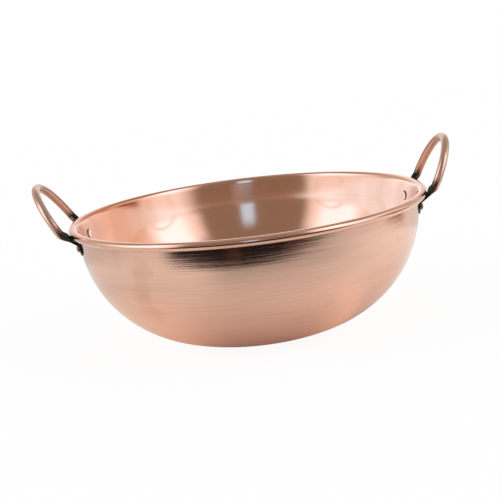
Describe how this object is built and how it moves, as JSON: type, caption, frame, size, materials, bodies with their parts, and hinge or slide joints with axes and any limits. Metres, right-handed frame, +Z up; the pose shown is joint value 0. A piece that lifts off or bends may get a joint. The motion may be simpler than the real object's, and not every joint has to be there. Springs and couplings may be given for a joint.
{
  "type": "copper jam pan",
  "caption": "Round-bellied copper jam pan with a flat base, a wired rolled rim and riveted upright loop handles at the sides.",
  "frame": {"origin": "centre of the flat base, on the surface that the pan stands on", "axes": "+X toward the right handle, +Y away from the viewer, +Z up out of the bowl"},
  "size_m": [0.4186, 0.36, 0.1754],
  "materials": {
    "spun_copper": "polished copper with fine spinning lines",
    "handle_copper": "polished copper, darkened by heat at the feet",
    "rivet_copper": "hammered copper",
    "rim_wire": "bright drawn steel"
  },
  "bodies": {
    "root": {"bowl": "spun_copper", "rim_wire": "rim_wire", "handle_left": "handle_copper", "handle_right": "handle_copper", "rivet_left_front": "rivet_copper", "rivet_left_back": "rivet_copper", "rivet_right_front": "rivet_copper", "rivet_right_back": "rivet_copper"}
  },
  "joints": []
}
